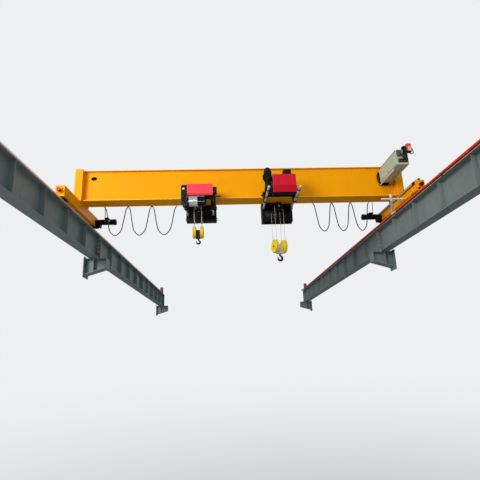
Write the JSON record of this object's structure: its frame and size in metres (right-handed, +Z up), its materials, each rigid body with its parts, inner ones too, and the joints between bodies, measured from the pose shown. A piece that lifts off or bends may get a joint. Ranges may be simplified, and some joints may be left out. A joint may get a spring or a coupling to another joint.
{
  "type": "overhead bridge crane",
  "caption": "Single girder overhead bridge crane on runway beams, with low hoist trolleys, rope blocks and hooks, a festoon cable, and wall brackets that carry it.",
  "frame": {"origin": "centre of the left middle bracket's wall plate face, on the wall", "axes": "+X along the span from the left wall to the right, +Y along the runway, away from the side with the control cabinet, +Z up"},
  "size_m": [8.5, 20, 2.509],
  "materials": {
    "runway_paint": "satin",
    "rail_steel": "worn",
    "stop_paint": "satin",
    "conductor_cover": "matte",
    "galvanised_steel": "galvanised",
    "crane_paint": "semi-gloss",
    "buffer_rubber": "matte",
    "drive_paint": "satin",
    "cabinet_paint": "satin",
    "bracket_paint": "satin",
    "signal_plastic": "gloss",
    "cable_rubber": "matte",
    "wheel_steel": "worn",
    "trolley_paint": "satin",
    "cover_paint": "gloss",
    "rope_steel": "greased",
    "drum_steel": "greased",
    "guard_paint": "gloss",
    "sheave_steel": "machined",
    "hook_iron": "forged"
  },
  "bodies": {
    "runway": {"runway_beams_near": "runway_paint", "runway_beams_far": "runway_paint", "rails": "rail_steel", "wall_brackets": "runway_paint", "end_stops": "stop_paint", "conductor_bar": "conductor_cover", "conductor_hangers": "galvanised_steel"},
    "bridge": {"girder_top_flange": "crane_paint", "girder_bottom_flange": "crane_paint", "girder_web_front": "crane_paint", "girder_web_rear": "crane_paint", "girder_ends": "crane_paint", "end_trucks": "crane_paint", "buffers": "buffer_rubber", "travel_drives": "drive_paint", "control_cabinet": "cabinet_paint", "cabinet_bracket": "bracket_paint", "warning_signal": "signal_plastic", "collector": "galvanised_steel", "festoon_track": "galvanised_steel", "festoon_cable_left": "cable_rubber", "festoon_cable_right": "cable_rubber", "drive_cables": "cable_rubber"},
    "carrier_left_outer": {"carrier_left_outer": "galvanised_steel"},
    "carrier_left_inner": {"carrier_left_inner": "galvanised_steel"},
    "carrier_right_inner": {"carrier_right_inner": "galvanised_steel"},
    "carrier_right_outer": {"carrier_right_outer": "galvanised_steel"},
    "travel_wheel_left_front": {"travel_wheel_left_front": "wheel_steel"},
    "travel_wheel_left_rear": {"travel_wheel_left_rear": "wheel_steel"},
    "travel_wheel_right_front": {"travel_wheel_right_front": "wheel_steel"},
    "travel_wheel_right_rear": {"travel_wheel_right_rear": "wheel_steel"},
    "trolley_left": {"trolley_left_frame": "trolley_paint", "trolley_left_wheels": "wheel_steel", "hoist_left_drive": "drive_paint", "hoist_left_cover": "cover_paint", "hoist_left_counterweight": "trolley_paint", "hoist_left_ropes": "rope_steel"},
    "drum_left": {"hoist_left_drum": "drum_steel"},
    "block_left": {"block_left_guards": "guard_paint", "block_left_sheaves": "sheave_steel"},
    "hook_left": {"hook_left": "hook_iron"},
    "trolley_right": {"trolley_right_frame": "trolley_paint", "trolley_right_wheels": "wheel_steel", "hoist_right_drive": "drive_paint", "hoist_right_cover": "cover_paint", "hoist_right_housing": "trolley_paint", "hoist_right_ropes": "rope_steel"},
    "drum_right": {"hoist_right_drum": "drum_steel"},
    "block_right": {"block_right_guards": "guard_paint", "block_right_sheaves": "sheave_steel"},
    "hook_right": {"hook_right": "hook_iron"}
  },
  "joints": [
    {"name": "bridge_travel", "type": "slide", "parent": "runway", "child": "bridge", "axis": [0, 1, 0], "range_m": [-7.5, 9.9]},
    {"name": "travel_wheel_left_front_spin", "type": "hinge", "parent": "bridge", "child": "travel_wheel_left_front", "pos_m": [0.25, -2.05, 1.1243], "axis": [1, 0, 0], "range_deg": [-5700, 4330]},
    {"name": "travel_wheel_left_rear_spin", "type": "hinge", "parent": "bridge", "child": "travel_wheel_left_rear", "pos_m": [0.25, -0.35, 1.1243], "axis": [1, 0, 0], "range_deg": [-5700, 4330]},
    {"name": "travel_wheel_right_front_spin", "type": "hinge", "parent": "bridge", "child": "travel_wheel_right_front", "pos_m": [8.25, -2.05, 1.1243], "axis": [1, 0, 0], "range_deg": [-5700, 4330]},
    {"name": "travel_wheel_right_rear_spin", "type": "hinge", "parent": "bridge", "child": "travel_wheel_right_rear", "pos_m": [8.25, -0.35, 1.1243], "axis": [1, 0, 0], "range_deg": [-5700, 4330]},
    {"name": "trolley_left_travel", "type": "slide", "parent": "bridge", "child": "trolley_left", "axis": [1, 0, 0], "range_m": [-1, 0.45], "deforming": ["festoon_cable_left"]},
    {"name": "trolley_right_travel", "type": "slide", "parent": "bridge", "child": "trolley_right", "axis": [1, 0, 0], "range_m": [-0.45, 0.8], "deforming": ["festoon_cable_right"]},
    {"name": "carrier_left_outer_run", "type": "slide", "parent": "bridge", "child": "carrier_left_outer", "axis": [1, 0, 0], "range_m": [-0.27, 0.132]},
    {"name": "carrier_left_inner_run", "type": "slide", "parent": "bridge", "child": "carrier_left_inner", "axis": [1, 0, 0], "range_m": [-0.742, 0.345]},
    {"name": "carrier_right_inner_run", "type": "slide", "parent": "bridge", "child": "carrier_right_inner", "axis": [1, 0, 0], "range_m": [-0.351, 0.608]},
    {"name": "carrier_right_outer_run", "type": "slide", "parent": "bridge", "child": "carrier_right_outer", "axis": [1, 0, 0], "range_m": [-0.135, 0.225]},
    {"name": "hoist_left_lift", "type": "slide", "parent": "trolley_left", "child": "block_left", "axis": [0, 0, 1], "range_m": [-4, 0.3], "deforming": ["hoist_left_ropes"]},
    {"name": "hoist_right_lift", "type": "slide", "parent": "trolley_right", "child": "block_right", "axis": [0, 0, 1], "range_m": [-3.6, 0.45], "deforming": ["hoist_right_ropes"]},
    {"name": "drum_left_spin", "type": "hinge", "parent": "trolley_left", "child": "drum_left", "pos_m": [3.2, -1.62, 1.149], "axis": [1, 0, 0], "range_deg": [-7340, 560]},
    {"name": "drum_right_spin", "type": "hinge", "parent": "trolley_right", "child": "drum_right", "pos_m": [5.18, -0.84, 1.064], "axis": [1, 0, 0], "range_deg": [-680, 5330]},
    {"name": "hook_left_swivel", "type": "hinge", "parent": "block_left", "child": "hook_left", "pos_m": [3.165, -1.3947, 0.299], "axis": [0, 0, 1], "continuous": true},
    {"name": "hook_right_swivel", "type": "hinge", "parent": "block_right", "child": "hook_right", "pos_m": [5.14, -1.1, -0.044], "axis": [0, 0, 1], "continuous": true}
  ],
  "couplings": [
    {"joint": "travel_wheel_left_front_spin", "follows": "bridge_travel", "rad_per_m": -10},
    {"joint": "travel_wheel_left_rear_spin", "follows": "bridge_travel", "rad_per_m": -10},
    {"joint": "travel_wheel_right_front_spin", "follows": "bridge_travel", "rad_per_m": -10},
    {"joint": "travel_wheel_right_rear_spin", "follows": "bridge_travel", "rad_per_m": -10},
    {"joint": "carrier_left_outer_run", "follows": "trolley_left_travel", "ratio": 0.2497},
    {"joint": "carrier_left_inner_run", "follows": "trolley_left_travel", "ratio": 0.7218},
    {"joint": "carrier_right_inner_run", "follows": "trolley_right_travel", "ratio": 0.7349},
    {"joint": "carrier_right_outer_run", "follows": "trolley_right_travel", "ratio": 0.2562},
    {"joint": "drum_left_spin", "follows": "hoist_left_lift", "rad_per_m": 31.923},
    {"joint": "drum_right_spin", "follows": "hoist_right_lift", "rad_per_m": -25.757}
  ]
}
